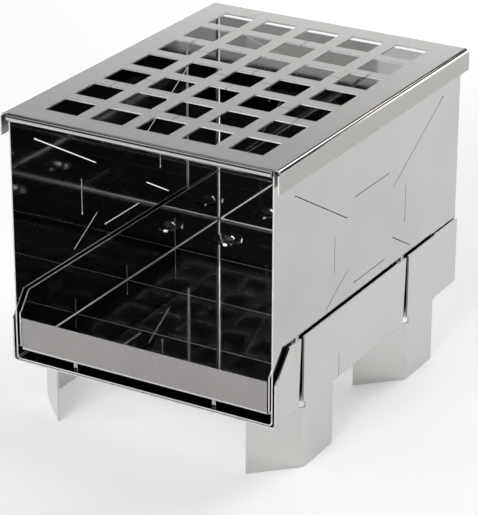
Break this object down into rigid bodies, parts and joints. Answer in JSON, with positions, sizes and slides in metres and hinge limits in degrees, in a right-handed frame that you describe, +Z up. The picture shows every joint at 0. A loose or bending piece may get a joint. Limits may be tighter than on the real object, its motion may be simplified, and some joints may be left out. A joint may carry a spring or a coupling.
{
  "type": "rocket stove",
  "caption": "Folded stainless steel rocket stove: an open-front firebox under a perforated grate cap, with a pull-out fire tray on an air gap, in a cradle stand.",
  "frame": {"origin": "centre of the footprint on the floor, midway between the cap's sides and ends", "axes": "+X to the right seen from the open front, +Y to the back, +Z up"},
  "size_m": [0.217, 0.284, 0.233],
  "materials": {
    "stand_sheet": "semi-bright stainless sheet",
    "body_sheet": "bright annealed stainless sheet, near mirror",
    "tray_sheet": "bright annealed stainless sheet, near mirror",
    "cap_sheet": "brushed matte stainless sheet",
    "fastener_steel": "bright stainless"
  },
  "bodies": {
    "stand": {"stand": "stand_sheet"},
    "firebox": {"body_shell": "body_sheet", "back_panel": "body_sheet"},
    "tray": {"fire_tray": "tray_sheet", "tray_foot_bolts": "fastener_steel", "tray_washers": "fastener_steel", "tray_nuts": "fastener_steel"},
    "cap": {"grate_cap": "cap_sheet"}
  },
  "joints": [
    {"name": "firebox_lift", "type": "slide", "parent": "stand", "child": "firebox", "axis": [0, 0, 1], "range_m": [0, 0.06]},
    {"name": "tray_slide", "type": "slide", "parent": "firebox", "child": "tray", "axis": [0, -1, 0], "range_m": [0, 0.2]},
    {"name": "cap_lift", "type": "slide", "parent": "firebox", "child": "cap", "axis": [0, 0, 1], "range_m": [0, 0.05]}
  ]
}
